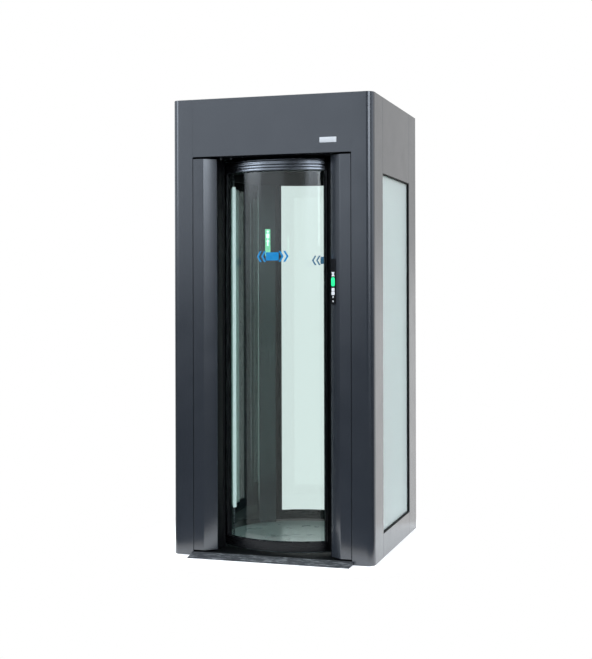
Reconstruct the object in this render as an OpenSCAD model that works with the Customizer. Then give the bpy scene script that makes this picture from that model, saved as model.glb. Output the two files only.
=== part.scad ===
// Single-person security interlock portal: a square cabinet with a curved sliding leaf at
// each end. Origin at the centre of the footprint on the floor, the front towards -Y, +Z up.
// The rear half is the front half turned half a turn about the vertical axis.
// Angles named *_a are measured from the front (-Y), positive towards +X.

/* [Cabinet] */
// Width over the side walls
cabinet_w = 1100; // [1060:10:1400]
// Depth between the front and rear faces
cabinet_d = 1100; // [1060:10:1400]
// Height from the floor to the top edge
cabinet_h = 2420; // [2250:10:2950]
// Height of the clear doorway, up to the underside of the head
head_z = 2114; // [1950:1:2200]
// Thickness of the double-skinned side walls
side_wall_t = 50; // [40:1:70]
// Width of the groove between neighbouring casings
joint_w = 2; // [1:0.5:4]
// Depth of the groove between neighbouring casings
joint_depth = 6; // [2:1:10]

/* [Corner posts] */
// Width of a corner post across the front face
post_w = 115; // [90:1:150]
// Depth of a corner post along the side face
post_d = 40; // [39:1:60]
// Radius of the rounded outer corner
corner_r = 38; // [20:1:38]
// Wall of the hollow post
post_wall = 3; // [2:0.5:6]

/* [Head] */
// Sheet thickness of the fascia pans
fascia_sheet = 3; // [2:0.5:5]
// Thickness of the roof cassette
roof_t = 20; // [10:1:40]
// Drop of the roof below the top edge of the fascia
roof_drop = 10; // [0:1:40]
// Thickness of the soffit and the ceiling
ceiling_t = 6; // [3:1:12]

/* [Side windows] */
// Distance of the window's vertical edges from the cabinet's corners
window_inset = 219; // [180:1:300]
// Height of the window's lower edge
window_z0 = 126; // [90:1:300]
// Distance from the window's upper edge to the top of the cabinet
window_top_inset = 400; // [320:1:500]
// Glass thickness of the side panes
pane_t = 6; // [4:1:10]
// How far the outer pane lies behind the side face
pane_recess = 13; // [8:1:20]
// Width of the inner skin that shows around the inner pane
inner_lip = 11; // [8:1:50]
// Thickness of the rubber gasket that lines the window
gasket_t = 6; // [3:1:12]

/* [Doorways] */
// Half the angle of a doorway, seen from the centre
doorway_a = 37.75; // [33:0.25:40]
// Distance between the leaf's front and the posts' front faces
jamb_set = 67; // [50:1:90]
// Width of the closing post's front face
closing_w = 45; // [30:1:60]
// Radius of the groove that faces the leading edge of a closed leaf
seal_groove_r = 11; // [6:0.5:14]
// Depth of that groove
seal_groove_depth = 4; // [2:0.5:6]
// Width of the guide post at its back
guide_w = 21; // [12:1:40]
// Thickness of the flat jamb panels behind the wings
jamb_t = 6; // [3:1:10]
// How far the jamb panels lie behind the posts' front faces
panel_set = 2; // [0.5:0.5:5]
// Bulge of the wings at mid width
wing_bulge = 27; // [3:0.5:40]
// Sheet thickness of the wings
wing_t = 4; // [2:0.5:8]
// Gap above the wings
wing_top_gap = 10; // [4:1:20]
// Gap under the wings
wing_foot_gap = 8; // [1:0.5:15]

/* [Sliding leaves] */
// Thickness of a leaf's frame
leaf_t = 30; // [24:1:34]
// Thickness of a leaf's curved glass
leaf_glass_t = 8; // [6:1:12]
// Gap between a leaf and the side walls
leaf_side_gap = 10; // [6:1:30]
// Least distance from a leaf to the front face
leaf_front_gap = 60; // [50:1:120]
// Running gap around a moving leaf
run_gap = 6.5; // [5:0.5:10]
// How far a closed leaf reaches behind the guide post
leaf_overlap = 62; // [40:1:80]
// Width of the leading stile
lead_stile_w = 44; // [36:1:60]
// Width of the trailing stile
trail_stile_w = 62; // [45:1:110]
// How far the stiles' outer faces lie behind the leaf's outer face
stile_set = 3; // [1:0.5:6]
// Radius of the raised bead along each stile
bead_r = 4; // [2:0.5:6]
// Radius of the rubber nose on the leading edge
nose_r = 10; // [6:0.5:11]
// Distance from the glass to the middle of the leading stile's bead
lead_bead_set = 10; // [6:1:16]
// Distance from the glass to the middle of the trailing stile's bead
trail_bead_set = 5; // [5:1:40]
// Gap under the leaf
leaf_foot_gap = 8; // [5:1:15]
// Height of the bottom rail
bottom_rail_h = 50; // [40:1:90]
// Height of the ribbed top rail
top_rail_h = 45; // [40:1:70]
// Distance from the top rail up to the soffit
top_rail_gap = 33; // [30:1:60]
// Height of the neck between the top rail and its hanging bar
hang_neck_h = 6; // [3:1:8]
// Height of the round-nosed hanging bar
hang_bar_h = 13; // [8:1:16]
// How far the hanging bar's nose lies behind the leaf's outer face
hang_bar_set = 2; // [0.5:0.5:8]
// Depth of the glass grooves in the leaf's frame
glass_bite = 10; // [6:1:14]

/* [Inner walls] */
// Gap between a leaf and the fixed curved walls
inner_wall_gap = 15; // [12:1:25]
// Thickness of the curved wall glass
inner_wall_t = 10; // [6:1:12]
// Drop of the upper ring below the ceiling
ring_drop = 80; // [60:1:160]
// Radial width of the upper ring
ring_w = 24; // [20:1:40]
// How far the glass stands in the ring's groove
ring_bite = 14; // [8:1:30]

/* [Floor] */
// Thickness of the base plate
base_t = 20; // [12:1:40]
// Thickness of the round floor covering plate
floor_t = 5; // [3:1:10]
// Length of the ramp in front of a doorway
ramp_len = 80; // [50:1:200]
// How far a ramp is wider than the doorway's outer edges, each side
ramp_over = 4; // [0:1:20]
// Height of the ramp's nose
ramp_nose = 2; // [1:0.5:5]

/* [Track and carriages] */
// Height of the track's channel
track_h = 44; // [40:1:60]
// Sheet thickness of the track
track_wall = 4; // [3:0.5:6]
// How far the track laps over the edges of the soffit and the ceiling
track_lap = 3; // [1:0.5:3]
// Radius of the carriage rollers
roller_r = 14; // [10:0.5:16]
// Width of a roller
roller_w = 12; // [8:1:14]
// Thickness of the carriage plate
carriage_t = 6; // [4:1:10]
// Length of a carriage along the track
carriage_len = 110; // [80:1:160]
// Angle of the carriages from the leaf's middle
carriage_a = 26; // [15:1:32]

/* [Indicators] */
// Width of the indicator on the closing post
indicator_w = 25; // [20:1:28]
// Distance of the indicator from the closing post's inner edge
indicator_edge = 0; // [0:0.5:2]
// Height of the indicator
indicator_h = 235; // [150:1:300]
// Height of the indicator's lower edge above the floor
indicator_z = 1333; // [1000:1:1500]
// How far the indicator stands out of the post
indicator_t = 4; // [2:0.5:8]
// Width of the display inside the chamber
display_w = 38; // [30:1:60]
// Height of the display inside the chamber
display_h = 190; // [120:1:260]
// Height of the display's lower edge above the floor
display_z = 1600; // [1200:1:1700]
// Thickness of the display's housing
display_t = 8; // [5:1:15]

/* [Hidden] */

$fn = 96;
seat = 0.3;                                     // fitting gap between neighbouring pieces
deg = 180 / PI;

half_w = cabinet_w / 2;
half_d = cabinet_d / 2;
mouth_x = half_w - post_w;                      // half the opening between the corner posts
wall_x = half_w - side_wall_t;                  // inner face of a side wall
wall_end = half_d - post_d - seat;              // half the length of a side wall

leaf_r = min(wall_x - leaf_side_gap, half_d - leaf_front_gap);
leaf_in_r = leaf_r - leaf_t;
glass_r = leaf_in_r + (leaf_t - leaf_glass_t) / 2;
carriage_r = (leaf_r + leaf_in_r) / 2;
stile_r = leaf_r - stile_set;                   // outer face of the stiles

jamb_y = leaf_r - jamb_set;                     // plane of the posts' front faces
closing_x = leaf_r * sin(doorway_a);
jamb_x = closing_x + closing_w;                 // where the wings end
jamb_a = atan2(jamb_x, jamb_y);
panel_y = jamb_y - panel_set;                   // front face of the jamb panels

lead_a = doorway_a - run_gap / leaf_r * deg;
trail_a = -(doorway_a + leaf_overlap / leaf_r * deg);
lead_glass_a = lead_a - lead_stile_w / leaf_r * deg;
trail_glass_a = trail_a + trail_stile_w / leaf_r * deg;
lead_bead_a = lead_glass_a + lead_bead_set / leaf_r * deg;
trail_bead_a = trail_glass_a - trail_bead_set / leaf_r * deg;
bite_a = glass_bite / leaf_r * deg;
seat_a = seat / leaf_r * deg;

floor_z = base_t + floor_t;
leaf_z0 = floor_z + leaf_foot_gap;
leaf_z1 = leaf_z0 + bottom_rail_h;
leaf_z3 = head_z - top_rail_gap;
leaf_z2 = leaf_z3 - top_rail_h;
hang_z = leaf_z3 + hang_neck_h + hang_bar_h;    // top of the hanging bar

wall_r1 = leaf_in_r - inner_wall_gap;
wall_r0 = wall_r1 - inner_wall_t;
ring_z = head_z - ring_drop;
ring_r0 = (wall_r0 + wall_r1 - ring_w) / 2;
ring_r1 = ring_r0 + ring_w;
wall_start_a = asin((jamb_x + seat) / wall_r0);
closing_back = [jamb_x, -sqrt(pow((wall_r0 + wall_r1) / 2, 2) - pow(jamb_x, 2))];
wall_end_a = 180 - jamb_a;

ceiling_r = ring_r1;
soffit_r = leaf_r + run_gap;
track_r0 = ceiling_r - track_lap;
track_r1 = soffit_r + track_lap;
track_z = head_z + ceiling_t;
track_slot = carriage_t + 2 * run_gap;
roller_z = track_z + track_wall + roller_r + seat;

roof_z = cabinet_h - roof_drop - roof_t;
window_y = half_d - window_inset;
window_z1 = cabinet_h - window_top_inset;
pane_x = half_w - pane_recess - pane_t;

casing = [0.36, 0.38, 0.41];
black = [0.09, 0.09, 0.10];
dark_metal = [0.24, 0.25, 0.27];
bare_metal = [0.66, 0.67, 0.68];
clear_glass = [0.70, 0.85, 0.83, 0.35];
milky_glass = [0.80, 0.88, 0.87, 0.80];

// ---- shared shapes -------------------------------------------------------------------

// A block bent about the vertical axis, between two radii, two heights and two angles.
module bent_block(r0, r1, z0, z1, a0, a1) {
    rotate([0, 0, a0 - 90])
        rotate_extrude(angle = a1 - a0)
            translate([r0, z0]) square([r1 - r0, z1 - z0]);
}

module ring_block(r0, r1, z0, z1) {
    rotate_extrude() translate([r0, z0]) square([r1 - r0, z1 - z0]);
}

// The rear half of the portal is the front half turned half a turn.
module turned() {
    rotate([0, 0, 180]) children();
}

function polar(r, a) = [r * sin(a), -r * cos(a)];

// Plan of the space inside the casings.
module head_plan() {
    square([2 * (wall_x - seat), 2 * (half_d - post_d - seat)], center = true);
}

// The same with the two doorways, out to the front and rear faces.
module inner_plan() {
    head_plan();
    square([2 * (mouth_x - seat), 2 * half_d], center = true);
}

// ---- cabinet -------------------------------------------------------------------------

// Section of the front right corner post, shrunk all round by inset.
module post_section(inset) {
    w = post_w - 2 * inset;
    d = post_d - 2 * inset;
    r = corner_r - inset;
    translate([mouth_x + inset, -half_d + inset])
        intersection() {
            square([w, d]);
            union() {
                square([w - r, d]);
                translate([0, r]) square([w, d]);
                translate([w - r, r]) circle(r);
            }
        }
}

// Hollow post, open at the foot and closed at the top.
module corner_post() {
    color(casing) difference() {
        linear_extrude(cabinet_h) post_section(0);
        translate([0, 0, -1]) linear_extrude(cabinet_h - post_wall + 1) post_section(post_wall);
    }
}

module corner_post_front_right() { corner_post(); }
module corner_post_front_left() { mirror([1, 0, 0]) corner_post(); }
module corner_post_rear_left() { turned() corner_post_front_right(); }
module corner_post_rear_right() { turned() corner_post_front_left(); }

// Double-skinned wall with its window cut through, and grooves beside the posts and
// in line with the window's edges.
module side_wall_right() {
    color(casing) difference() {
        translate([wall_x, -wall_end, 0]) cube([side_wall_t, 2 * wall_end, cabinet_h]);
        translate([wall_x + pane_t, -window_y, window_z0])
            cube([side_wall_t, 2 * window_y, window_z1 - window_z0]);
        translate([wall_x - 1, -window_y + inner_lip, window_z0 + inner_lip])
            cube([pane_t + 2, 2 * (window_y - inner_lip), window_z1 - window_z0 - 2 * inner_lip]);
        for (side = [-1, 1]) {
            groove(side * (wall_end - joint_w / 2 + seat), -1, cabinet_h + 1);
            groove(side * (window_y - joint_w / 2), -1, window_z0 + 1);
            groove(side * (window_y - joint_w / 2), window_z1 - 1, cabinet_h + 1);
        }
    }
}

module groove(y, z0, z1) {
    translate([half_w - joint_depth, y - joint_w / 2, z0]) cube([joint_depth + 1, joint_w, z1 - z0]);
}

module side_wall_left() { turned() side_wall_right(); }

// Rubber lining of the window, which holds the outer pane's edges.
module window_gasket_right() {
    depth = side_wall_t - pane_t - joint_w;
    color(black) translate([wall_x + pane_t, 0, 0]) difference() {
        translate([0, -window_y, window_z0]) cube([depth, 2 * window_y, window_z1 - window_z0]);
        translate([-1, -window_y + gasket_t, window_z0 + gasket_t])
            cube([depth + 2, 2 * (window_y - gasket_t), window_z1 - window_z0 - 2 * gasket_t]);
    }
}

module window_gasket_left() { turned() window_gasket_right(); }

// One milky pane, set in from the window's edges.
module pane(x, inset) {
    translate([x, -window_y + inset, window_z0 + inset])
        cube([pane_t, 2 * (window_y - inset), window_z1 - window_z0 - 2 * inset]);
}

module side_glazing_right() {
    color(milky_glass) {
        pane(pane_x, gasket_t + seat);
        pane(wall_x, inner_lip + seat);
    }
}

module side_glazing_left() { turned() side_glazing_right(); }

// Folded pan: a front skin with its four edges turned back.
module fascia_front() {
    w = 2 * (mouth_x - seat);
    h = cabinet_h - head_z;
    color(casing) difference() {
        translate([-w / 2, -half_d, head_z]) cube([w, post_d, h]);
        translate([-w / 2 + fascia_sheet, -half_d + fascia_sheet, head_z + ceiling_t])
            cube([w - 2 * fascia_sheet, post_d, h - ceiling_t - fascia_sheet]);
    }
}

module fascia_rear() { turned() fascia_front(); }

module roof_panel() {
    color(casing) translate([0, 0, roof_z]) linear_extrude(roof_t) head_plan();
}

// ---- head ----------------------------------------------------------------------------

// Underside of the head, with the round cut-out for the leaves' hangers.
module soffit() {
    color(black) translate([0, 0, head_z]) linear_extrude(ceiling_t) difference() {
        head_plan();
        circle(soffit_r);
    }
}

module ceiling_panel() {
    color(dark_metal) translate([0, 0, head_z]) cylinder(r = ceiling_r, h = ceiling_t);
}

// Ring under the ceiling with a groove for the curved walls.
module upper_ring() {
    color(dark_metal) rotate_extrude() difference() {
        translate([ring_r0, ring_z]) square([ring_w, ring_drop]);
        translate([wall_r0 - seat, ring_z - 1])
            square([inner_wall_t + 2 * seat, ring_bite + seat + 1]);
    }
}

// Round channel that bridges the slot between soffit and ceiling, open at the bottom.
module door_track() {
    color(bare_metal) translate([0, 0, track_z]) rotate_extrude() difference() {
        translate([track_r0, 0]) square([track_r1 - track_r0, track_h]);
        translate([track_r0 + track_wall, track_wall])
            square([track_r1 - track_r0 - 2 * track_wall, track_h - 2 * track_wall]);
        translate([carriage_r - track_slot / 2, -1]) square([track_slot, track_wall + 2]);
    }
}

// ---- doorways ------------------------------------------------------------------------

// Convex sheet between a corner post and the post beside the doorway, trimmed at both.
module wing_front_right() {
    outer = [mouth_x, -half_d];
    inner = [jamb_x, -jamb_y];
    chord = norm(outer - inner);
    r = (pow(chord, 2) / 4 + pow(wing_bulge, 2)) / (2 * wing_bulge);
    across = (inner - outer) / chord;
    out = [-across[1], across[0]];
    centre = (outer + inner) / 2 - out * (r - wing_bulge);
    a_outer = atan2(outer[1] - centre[1], outer[0] - centre[0]);
    span = 2 * asin(chord / 2 / r);
    z0 = base_t + wing_foot_gap;
    z1 = head_z - wing_top_gap;
    color(casing) difference() {
        translate([centre[0], centre[1], 0])
            rotate([0, 0, a_outer - span]) rotate_extrude(angle = span, $fn = 180)
                translate([r - wing_t, z0]) square([wing_t, z1 - z0]);
        translate([mouth_x - seat, -half_d - 1, 0]) cube([post_w, post_d, cabinet_h]);
        translate([closing_x, -jamb_y, 0]) cube([wall_x - closing_x, post_d, cabinet_h]);
    }
}

module wing_front_left() { mirror([1, 0, 0]) wing_front_right(); }
module wing_rear_left() { turned() wing_front_right(); }
module wing_rear_right() { turned() wing_front_left(); }

// Post that the leaf's leading edge closes against, notched over the floor plate and under
// the upper ring. A flat jamb panel reaches from it to the side wall, behind the wing.
module closing_post_front() {
    section = [
        [closing_x, -jamb_y], [jamb_x, -jamb_y], [jamb_x, -panel_y],
        [wall_x - seat, -panel_y], [wall_x - seat, jamb_t - panel_y], [jamb_x, jamb_t - panel_y],
        closing_back, polar(wall_r0, doorway_a), polar(leaf_r, doorway_a)
    ];
    groove_a = doorway_a - (seal_groove_r - seal_groove_depth) / carriage_r * deg;
    color(casing) difference() {
        translate([0, 0, base_t]) linear_extrude(head_z - base_t) difference() {
            polygon(section);
            translate(polar(carriage_r, groove_a)) circle(seal_groove_r);
        }
        ring_block(ring_r0 - 1, ring_r1 + seat, ring_z, head_z + 1);
        cylinder(r = wall_r1 + seat, h = floor_z);
    }
}

module closing_post_rear() { turned() closing_post_front(); }

// Post that the leaf runs behind, with its own jamb panel.
module guide_post_front() {
    near_r = leaf_r + run_gap;
    section = [
        [-jamb_x, -jamb_y], polar(near_r, -jamb_a), polar(near_r, trail_a),
        [-jamb_x - guide_w, jamb_t - panel_y], [seat - wall_x, jamb_t - panel_y],
        [seat - wall_x, -panel_y], [-jamb_x, -panel_y]
    ];
    color(black) translate([0, 0, base_t]) linear_extrude(head_z - base_t) polygon(section);
}

module guide_post_rear() { turned() guide_post_front(); }

// ---- inner walls and floor -----------------------------------------------------------

module curved_wall_right() {
    color(clear_glass)
        bent_block(wall_r0, wall_r1, floor_z, ring_z + ring_bite, wall_start_a, wall_end_a);
}

module curved_wall_left() { turned() curved_wall_right(); }

module base_plate() {
    color(black) linear_extrude(base_t) inner_plan();
}

module floor_plate() {
    color(dark_metal) translate([0, 0, base_t]) cylinder(r = wall_r1, h = floor_t);
}

module threshold_front() {
    w = 2 * (mouth_x + ramp_over);
    profile = [[0, 0], [ramp_len, 0], [ramp_len, ramp_nose], [0, base_t]];
    color(dark_metal) translate([-w / 2, -half_d - seat, 0])
        rotate([90, 0, 90]) linear_extrude(w) mirror([1, 0]) polygon(profile);
}

module threshold_rear() { turned() threshold_front(); }

// ---- indicators ----------------------------------------------------------------------

module indicator_front() {
    color(black) translate([closing_x + indicator_edge, -jamb_y - indicator_t, indicator_z])
        cube([indicator_w, indicator_t, indicator_h]);
}

module indicator_rear() { turned() indicator_front(); }

// Display on the face of the closing post that looks into the chamber.
module display_front() {
    edge = polar(wall_r0, doorway_a);
    mid = (edge + closing_back) / 2;
    turn = atan2(closing_back[1] - edge[1], closing_back[0] - edge[0]);
    color(black) translate([mid[0], mid[1], display_z]) rotate([0, 0, turn])
        translate([-display_w / 2, seat, 0]) cube([display_w, display_t, display_h]);
}

module display_rear() { turned() display_front(); }

// ---- sliding leaves ------------------------------------------------------------------

// The groove that the curved glass stands in, around the whole leaf.
module glass_groove() {
    bent_block(glass_r - seat, glass_r + leaf_glass_t + seat,
        leaf_z1 - glass_bite, leaf_z2 + glass_bite,
        trail_glass_a - bite_a, lead_glass_a + bite_a);
}

module leaf_glass() {
    color(clear_glass)
        bent_block(glass_r, glass_r + leaf_glass_t,
            leaf_z1 - glass_bite + seat, leaf_z2 + glass_bite - seat,
            trail_glass_a - bite_a + seat_a, lead_glass_a + bite_a - seat_a);
}

// Section of the top rail: three rounded ribs on the outer face, then a neck and the
// round-nosed bar that the leaf hangs from.
module top_rail_section() {
    rib_r = top_rail_h / 6;
    bar_r = hang_bar_h / 2;
    translate([leaf_in_r, leaf_z2]) square([leaf_t - rib_r, top_rail_h]);
    for (i = [0 : 2])
        translate([leaf_r - rib_r, leaf_z2 + (2 * i + 1) * rib_r]) circle(rib_r);
    translate([leaf_in_r + leaf_t / 4, leaf_z3 - 1]) square([leaf_t / 2, hang_neck_h + 2]);
    translate([leaf_in_r + leaf_t / 4, leaf_z3 + hang_neck_h])
        square([leaf_t * 3 / 4 - hang_bar_set - bar_r, hang_bar_h]);
    translate([leaf_r - hang_bar_set - bar_r, leaf_z3 + hang_neck_h + bar_r]) circle(bar_r);
}

module leaf_top_rail() {
    color(black) difference() {
        rotate([0, 0, trail_a - 90])
            rotate_extrude(angle = lead_glass_a - trail_a) top_rail_section();
        glass_groove();
    }
}

module leaf_bottom_rail() {
    color(black) difference() {
        bent_block(leaf_in_r, leaf_r, leaf_z0, leaf_z1, trail_a, lead_glass_a);
        glass_groove();
    }
}

// Upright rod on a leaf, a seat short at both ends.
module upright(r, at, z0, z1) {
    translate([at[0], at[1], z0 + seat]) cylinder(r = r, h = z1 - z0 - 2 * seat);
}

// Raised bead that stiffens a stile's outer face.
module stile_bead(a) {
    upright(bead_r, polar(leaf_r - bead_r, a), leaf_z1, leaf_z2);
}

// The leading stile runs the full height of the leaf and ends in a rubber nose.
module leaf_lead_stile() {
    nose_a = lead_a - nose_r / leaf_r * deg;
    color(black) difference() {
        union() {
            bent_block(leaf_in_r, stile_r, leaf_z0, leaf_z3, lead_glass_a, nose_a);
            upright(nose_r, polar((stile_r + leaf_in_r) / 2, nose_a), leaf_z0, leaf_z3);
            stile_bead(lead_bead_a);
        }
        glass_groove();
    }
}

// The trailing stile stands between the rails.
module leaf_trail_stile() {
    color(black) difference() {
        union() {
            bent_block(leaf_in_r, stile_r, leaf_z1, leaf_z2, trail_a, trail_glass_a);
            stile_bead(trail_bead_a);
        }
        glass_groove();
    }
}

// Plate with two pairs of rollers that run on the lips of the track.
module carriage() {
    axle_a = carriage_len / 3.2 / carriage_r * deg;
    end_a = carriage_len / 2 / carriage_r * deg;
    bent_block(carriage_r - carriage_t / 2, carriage_r + carriage_t / 2,
        hang_z, roller_z + roller_r / 2, -end_a, end_a);
    for (side = [-1, 1])
        rotate([0, 0, side * axle_a]) translate([0, -carriage_r, roller_z]) rotate([90, 0, 0])
            for (out = [-1, 1])
                translate([0, 0, out > 0 ? carriage_t / 2 - 1 : -carriage_t / 2 - roller_w - 1])
                    cylinder(r = roller_r, h = roller_w + 2);
}

module leaf_carriages() {
    mid_a = (lead_a + trail_a) / 2;
    color(black) for (side = [-1, 1]) rotate([0, 0, mid_a + side * carriage_a]) carriage();
}

module front_leaf_glass() { leaf_glass(); }
module front_leaf_top_rail() { leaf_top_rail(); }
module front_leaf_bottom_rail() { leaf_bottom_rail(); }
module front_leaf_lead_stile() { leaf_lead_stile(); }
module front_leaf_trail_stile() { leaf_trail_stile(); }
module front_leaf_carriages() { leaf_carriages(); }
module rear_leaf_glass() { turned() leaf_glass(); }
module rear_leaf_top_rail() { turned() leaf_top_rail(); }
module rear_leaf_bottom_rail() { turned() leaf_bottom_rail(); }
module rear_leaf_lead_stile() { turned() leaf_lead_stile(); }
module rear_leaf_trail_stile() { turned() leaf_trail_stile(); }
module rear_leaf_carriages() { turned() leaf_carriages(); }

corner_post_front_left();
corner_post_front_right();
corner_post_rear_left();
corner_post_rear_right();
side_wall_left();
side_wall_right();
side_glazing_left();
side_glazing_right();
window_gasket_left();
window_gasket_right();
fascia_front();
fascia_rear();
roof_panel();
soffit();
ceiling_panel();
upper_ring();
door_track();
curved_wall_left();
curved_wall_right();
base_plate();
floor_plate();
threshold_front();
threshold_rear();
wing_front_left();
wing_front_right();
wing_rear_left();
wing_rear_right();
closing_post_front();
closing_post_rear();
guide_post_front();
guide_post_rear();
indicator_front();
indicator_rear();
display_front();
display_rear();
front_leaf_glass();
front_leaf_top_rail();
front_leaf_bottom_rail();
front_leaf_lead_stile();
front_leaf_trail_stile();
front_leaf_carriages();
rear_leaf_glass();
rear_leaf_top_rail();
rear_leaf_bottom_rail();
rear_leaf_lead_stile();
rear_leaf_trail_stile();
rear_leaf_carriages();
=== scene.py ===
"""Security portal: a walk-in cabinet with two curved sliding leaves, finished around its CAD model."""

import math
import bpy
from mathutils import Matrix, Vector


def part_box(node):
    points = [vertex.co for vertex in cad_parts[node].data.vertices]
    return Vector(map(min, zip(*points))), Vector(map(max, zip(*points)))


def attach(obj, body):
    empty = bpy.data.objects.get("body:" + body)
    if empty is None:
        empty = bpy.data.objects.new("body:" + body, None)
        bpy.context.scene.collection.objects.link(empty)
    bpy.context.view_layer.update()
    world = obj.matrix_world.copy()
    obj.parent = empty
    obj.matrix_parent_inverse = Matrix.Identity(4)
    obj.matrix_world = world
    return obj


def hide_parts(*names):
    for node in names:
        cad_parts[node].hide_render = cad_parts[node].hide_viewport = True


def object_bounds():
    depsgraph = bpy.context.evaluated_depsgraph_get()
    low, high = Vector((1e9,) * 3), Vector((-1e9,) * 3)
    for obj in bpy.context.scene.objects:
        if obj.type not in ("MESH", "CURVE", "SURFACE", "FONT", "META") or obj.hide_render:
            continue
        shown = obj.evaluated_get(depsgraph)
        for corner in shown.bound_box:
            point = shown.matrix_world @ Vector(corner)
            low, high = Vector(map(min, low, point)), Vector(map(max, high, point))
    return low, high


bl_info = {
    "name": "Security Portal",
    "version": (1, 0, 0),
    "blender": (4, 5, 0),
    "location": "3D View > Sidebar > Portal",
    "description": "Builds the finishes, fittings and studio of a walk-in security portal",
    "category": "Add Mesh",
}

import bmesh
import bpy
from bpy.props import FloatProperty, FloatVectorProperty, PointerProperty
from mathutils import Euler, Matrix, Vector

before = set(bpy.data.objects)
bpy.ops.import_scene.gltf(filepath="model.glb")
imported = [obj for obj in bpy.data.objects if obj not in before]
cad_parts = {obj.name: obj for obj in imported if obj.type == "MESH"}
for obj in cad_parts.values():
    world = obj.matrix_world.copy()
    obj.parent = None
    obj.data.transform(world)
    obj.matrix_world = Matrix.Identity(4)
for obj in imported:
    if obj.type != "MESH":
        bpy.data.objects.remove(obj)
CAD_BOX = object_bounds()

MM = 0.001
SIDES = ("front", "rear")
HANDS = ("left", "right")
CORNERS = [f"{end}_{hand}" for end in SIDES for hand in HANDS]
TURNS = {"front": Matrix.Identity(4), "rear": Matrix.Rotation(math.pi, 4, "Z")}

# An edge sharper than this is eased or shown sharp.
SHARP = math.radians(32)
# Points of a CAD node that lie nearer than this are one.
WELD = 0.005 * MM
# Points that lie nearer than this count as being in the same place.
TOUCHING = 0.01 * MM
# Noise seldom leaves this range, so patterns are stretched from it.
NOISE_RANGE = {"From Min": 0.3, "From Max": 0.7}


def linear(code):
    """An sRGB hex colour such as "8090A0" as linear red, green and blue with full alpha."""
    parts = [int(code[i : i + 2], 16) / 255 for i in (0, 2, 4)]
    return tuple(c / 12.92 if c <= 0.04045 else ((c + 0.055) / 1.055) ** 2.4 for c in parts) + (1.0,)


def full(colour):
    """A colour with full alpha."""
    return (*colour, 1.0)


# ---- what a user may change ------------------------------------------------------------


def tone(name, description, code):
    """A colour setting whose default is an sRGB hex value."""
    return FloatVectorProperty(
        name=name, description=description, default=linear(code)[:3], subtype="COLOR", size=3, min=0, max=1
    )


def length(name, description, millimetres, least=0.0):
    """A length setting given in millimetres and kept in metres."""
    return FloatProperty(
        name=name,
        description=description,
        default=millimetres * MM,
        min=least * MM,
        unit="LENGTH",
        subtype="DISTANCE",
    )


def angle(name, description, degrees):
    """An angle setting given in degrees and kept in radians."""
    return FloatProperty(name=name, description=description, default=math.radians(degrees), subtype="ANGLE")


def brightness(name, description, default):
    """A brightness setting."""
    return FloatProperty(name=name, description=description, default=default, min=0)


class PortalFinishes(bpy.types.PropertyGroup):
    """Colours of the portal's finishes"""

    casing: tone("Casing", "Anthracite powder coat of the casing", "2C3036")
    # This black also serves as painted shade on the sheets that close the doorways' sides.
    black: tone("Black coat", "Black powder coat of the doorway and the head", "08090A")
    head: tone("Head coat", "Black powder coat of the soffit and the ceiling", "2B2E32")
    rail: tone("Leaf rails", "Dark anodised aluminium of the leaves' rails", "8C8F94")
    stile: tone("Leaf stiles", "Black anodised aluminium of the leaves' stiles", "101113")
    threshold: tone("Threshold", "Dark coat of the two threshold ramps", "2E3033")
    threshold_worn: tone("Threshold wear", "Colour of the scuffed places of the thresholds", "8A8D8F")
    floor: tone("Floor covering", "Sheet floor of the chamber", "808988")
    clear: tone("Clear glass", "Tint of the clear laminated glass", "EBF5F3")
    frosted: tone("Frosted glass", "Tint of the frosted side glazing", "DCE7E4")
    marking: tone("Door marking", "Blue film of the door markings", "0581BC")
    lamp: tone("Lamp", "Green lens of the status lamp", "27E08A")
    symbols: tone("Symbols", "White print of the indicator", "F4F6F7")
    light_bar: tone("Light bars", "Milky light bars at the ends of the curved glass walls", "CAD5D6")
    screen: tone("Screen", "Lit screen inside the chamber", "78C79E")
    screen_mark: tone("Screen marks", "Bright marks on the lit screen", "D8FFEE")
    label: tone("Label plate", "Bare white plate on the front fascia", "D2D6D9")


class PortalDetails(bpy.types.PropertyGroup):
    """Sizes of the small parts and of the softened edges"""

    ease: length("Eased edge", "Width of the softened edges of coated sheet metal", 1.2, 0.1)
    ease_small: length("Eased frame edge", "Width of the softened edges of the leaf frames", 0.8, 0.1)
    gasket_w: length("Gasket width", "Visible width of the rubber around the leaf glass", 2.5, 1)
    gasket_t: length("Gasket height", "How far that rubber stands off the glass", 2.0, 1)
    rail_h: length("Rail height", "Height of a leaf's ribbed top rail without its hanging bar", 45.0, 20)
    rail_crown: length("Rail crown", "Bulge of the lands of that rail", 0.6, 0)
    neck_h: length("Neck height", "Height of the neck between the rail and its hanging bar", 6.0, 1)
    wing_flat: length("Wing flat", "Width of the part of a wing that is flush with its post", 60.0, 20)
    wing_slant_x: length("Wing slant width", "Width of a wing's slanted face, seen from the front", 60.5, 20)
    wing_slant_y: length("Wing slant depth", "How far that face goes back", 45.0, 5)
    wing_sheet: length("Wing sheet", "Thickness of the sheet that a wing is folded from", 4.0, 1)
    seal_w: length("Seal width", "Width of the rubber seals between the posts and the wings", 3.0, 1)
    indicator_w: length("Indicator width", "Width of the indicator strip", 36.0, 10)
    indicator_edge: length("Indicator place", "From a wing's inner edge to the indicator's middle", 23.5, 10)
    label_w: length("Label width", "Width of the label plate", 90, 10)
    label_h: length("Label height", "Height of the label plate", 28, 5)
    marking_bar_w: length("Marking bar", "Length of the bar of a door marking", 72, 20)
    marking_bar_h: length("Marking bar height", "Height of that bar", 43, 10)
    marking_chevron_h: length("Chevron height", "Height of the chevrons beside the bar", 57, 10)
    marking_z: length("Marking height", "Height of the door markings above the ground", 1585, 500)
    film_t: length("Film thickness", "Thickness of the marking film", 0.3, 0.1)


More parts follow.
